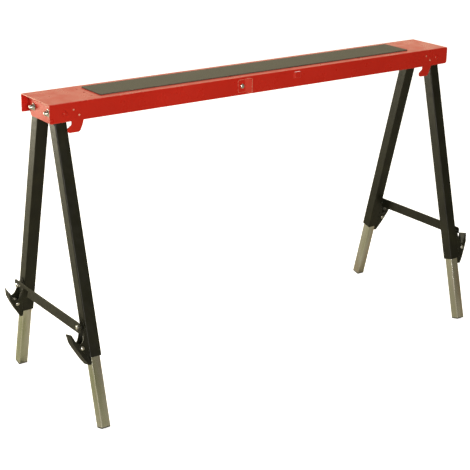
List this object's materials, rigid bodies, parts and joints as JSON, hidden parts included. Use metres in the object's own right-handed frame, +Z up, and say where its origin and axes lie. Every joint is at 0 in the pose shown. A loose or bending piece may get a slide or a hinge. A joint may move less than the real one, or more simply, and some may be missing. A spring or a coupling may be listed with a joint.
{
  "type": "folding sawhorse",
  "caption": "Folding sawhorse: a pressed channel beam with a rubber grip mat on two pairs of telescopic square-tube legs that close and fold up into the beam.",
  "frame": {"origin": "on the floor, below the middle of the beam", "axes": "+Z up, +X along the beam, -Y towards the side with the hooks and the latch"},
  "size_m": [1.035, 0.376, 0.6171],
  "materials": {
    "red_paint": "glossy red powder coat",
    "black_paint": "satin black powder coat",
    "yellow_zinc": "yellow passivated zinc plate",
    "bright_zinc": "bright zinc plate",
    "spring_steel": "drawn spring wire",
    "mat_rubber": "matt grey-green rubber",
    "foot_plastic": "matt moulded plastic"
  },
  "bodies": {
    "beam": {"top_beam": "red_paint", "grip_mat": "mat_rubber", "latch_bolt": "bright_zinc", "front_left_fold_rivet": "red_paint", "back_left_fold_rivet": "red_paint", "back_right_fold_rivet": "red_paint", "front_right_fold_rivet": "red_paint"},
    "latch": {"latch_plate": "red_paint"},
    "left_carrier": {"left_leg_carrier": "red_paint", "front_left_leg_bolt": "bright_zinc", "back_left_leg_bolt": "bright_zinc", "front_left_leg_nut": "bright_zinc", "back_left_leg_nut": "bright_zinc"},
    "right_carrier": {"right_leg_carrier": "red_paint", "back_right_leg_bolt": "bright_zinc", "front_right_leg_bolt": "bright_zinc", "back_right_leg_nut": "bright_zinc", "front_right_leg_nut": "bright_zinc"},
    "front_left_leg": {"front_left_outer_leg": "black_paint", "front_left_lever_bracket": "black_paint", "front_left_lever_pin": "bright_zinc", "front_left_lever_spring": "spring_steel", "front_left_brace_stud": "bright_zinc"},
    "front_left_foot": {"front_left_inner_leg": "yellow_zinc", "front_left_foot_plug": "foot_plastic"},
    "front_left_lever": {"front_left_lock_lever": "black_paint"},
    "back_left_leg": {"back_left_outer_leg": "black_paint", "back_left_lever_bracket": "black_paint", "back_left_lever_pin": "bright_zinc", "back_left_lever_spring": "spring_steel", "back_left_brace_stud": "bright_zinc"},
    "back_left_foot": {"back_left_inner_leg": "yellow_zinc", "back_left_foot_plug": "foot_plastic"},
    "back_left_lever": {"back_left_lock_lever": "black_paint"},
    "back_right_leg": {"back_right_outer_leg": "black_paint", "back_right_lever_bracket": "black_paint", "back_right_lever_pin": "bright_zinc", "back_right_lever_spring": "spring_steel", "back_right_brace_stud": "bright_zinc"},
    "back_right_foot": {"back_right_inner_leg": "yellow_zinc", "back_right_foot_plug": "foot_plastic"},
    "back_right_lever": {"back_right_lock_lever": "black_paint"},
    "front_right_leg": {"front_right_outer_leg": "black_paint", "front_right_lever_bracket": "black_paint", "front_right_lever_pin": "bright_zinc", "front_right_lever_spring": "spring_steel", "front_right_brace_stud": "bright_zinc"},
    "front_right_foot": {"front_right_inner_leg": "yellow_zinc", "front_right_foot_plug": "foot_plastic"},
    "front_right_lever": {"front_right_lock_lever": "black_paint"},
    "left_strap": {"left_brace": "black_paint"},
    "right_strap": {"right_brace": "black_paint"}
  },
  "joints": [
    {"name": "left_fold", "type": "hinge", "parent": "beam", "child": "left_carrier", "pos_m": [-0.468, 0, 0.595], "axis": [0, -1, 0], "range_deg": [0, 90]},
    {"name": "right_fold", "type": "hinge", "parent": "beam", "child": "right_carrier", "pos_m": [0.468, 0, 0.595], "axis": [0, 1, 0], "range_deg": [0, 90]},
    {"name": "front_left_swing", "type": "hinge", "parent": "left_carrier", "child": "front_left_leg", "pos_m": [-0.472, -0.03, 0.593], "axis": [1, 0, 0], "range_deg": [0, 13.1]},
    {"name": "back_left_swing", "type": "hinge", "parent": "left_carrier", "child": "back_left_leg", "pos_m": [-0.472, 0.03, 0.593], "axis": [-1, 0, 0], "range_deg": [0, 16.3]},
    {"name": "back_right_swing", "type": "hinge", "parent": "right_carrier", "child": "back_right_leg", "pos_m": [0.472, 0.03, 0.593], "axis": [-1, 0, 0], "range_deg": [0, 13.1]},
    {"name": "front_right_swing", "type": "hinge", "parent": "right_carrier", "child": "front_right_leg", "pos_m": [0.472, -0.03, 0.593], "axis": [1, 0, 0], "range_deg": [0, 16.3]},
    {"name": "left_brace_swing", "type": "hinge", "parent": "front_left_leg", "child": "left_strap", "pos_m": [-0.4941, -0.12917, 0.19819], "axis": [1, 0, 0], "range_deg": [0, 76]},
    {"name": "right_brace_swing", "type": "hinge", "parent": "back_right_leg", "child": "right_strap", "pos_m": [0.4941, 0.12917, 0.19819], "axis": [-1, 0, 0], "range_deg": [0, 76]},
    {"name": "front_left_extension", "type": "slide", "parent": "front_left_leg", "child": "front_left_foot", "axis": [0, 0.2436, 0.9699], "range_m": [0, 0.13]},
    {"name": "back_left_extension", "type": "slide", "parent": "back_left_leg", "child": "back_left_foot", "axis": [0, -0.2436, 0.9699], "range_m": [0, 0.13]},
    {"name": "back_right_extension", "type": "slide", "parent": "back_right_leg", "child": "back_right_foot", "axis": [0, -0.2436, 0.9699], "range_m": [0, 0.13]},
    {"name": "front_right_extension", "type": "slide", "parent": "front_right_leg", "child": "front_right_foot", "axis": [0, 0.2436, 0.9699], "range_m": [0, 0.13]},
    {"name": "front_left_lever_squeeze", "type": "hinge", "parent": "front_left_leg", "child": "front_left_lever", "pos_m": [-0.4975, -0.13852, 0.16095], "axis": [0, 0.9699, -0.2436], "range_deg": [0, 14], "stiffness_Nm_per_rad": 0.6, "springref_deg": -20.05},
    {"name": "back_left_lever_squeeze", "type": "hinge", "parent": "back_left_leg", "child": "back_left_lever", "pos_m": [-0.4975, 0.13852, 0.16095], "axis": [0, 0.9699, 0.2436], "range_deg": [0, 14], "stiffness_Nm_per_rad": 0.6, "springref_deg": -20.05},
    {"name": "back_right_lever_squeeze", "type": "hinge", "parent": "back_right_leg", "child": "back_right_lever", "pos_m": [0.4975, 0.13852, 0.16095], "axis": [0, -0.9699, -0.2436], "range_deg": [0, 14], "stiffness_Nm_per_rad": 0.6, "springref_deg": -20.05},
    {"name": "front_right_lever_squeeze", "type": "hinge", "parent": "front_right_leg", "child": "front_right_lever", "pos_m": [0.4975, -0.13852, 0.16095], "axis": [0, -0.9699, 0.2436], "range_deg": [0, 14], "stiffness_Nm_per_rad": 0.6, "springref_deg": -20.05},
    {"name": "latch_swivel", "type": "hinge", "parent": "beam", "child": "latch", "pos_m": [-0.0687, -0.058, 0.5975], "axis": [0, -1, 0], "range_deg": [-90, 90]}
  ],
  "couplings": [
    {"joint": "front_left_swing", "follows": "left_fold", "ratio": 0.14333},
    {"joint": "back_left_swing", "follows": "left_fold", "ratio": 0.17889},
    {"joint": "back_right_swing", "follows": "right_fold", "ratio": 0.14333},
    {"joint": "front_right_swing", "follows": "right_fold", "ratio": 0.17889},
    {"joint": "left_brace_swing", "follows": "left_fold", "ratio": 0.84333},
    {"joint": "right_brace_swing", "follows": "right_fold", "ratio": 0.84333}
  ]
}
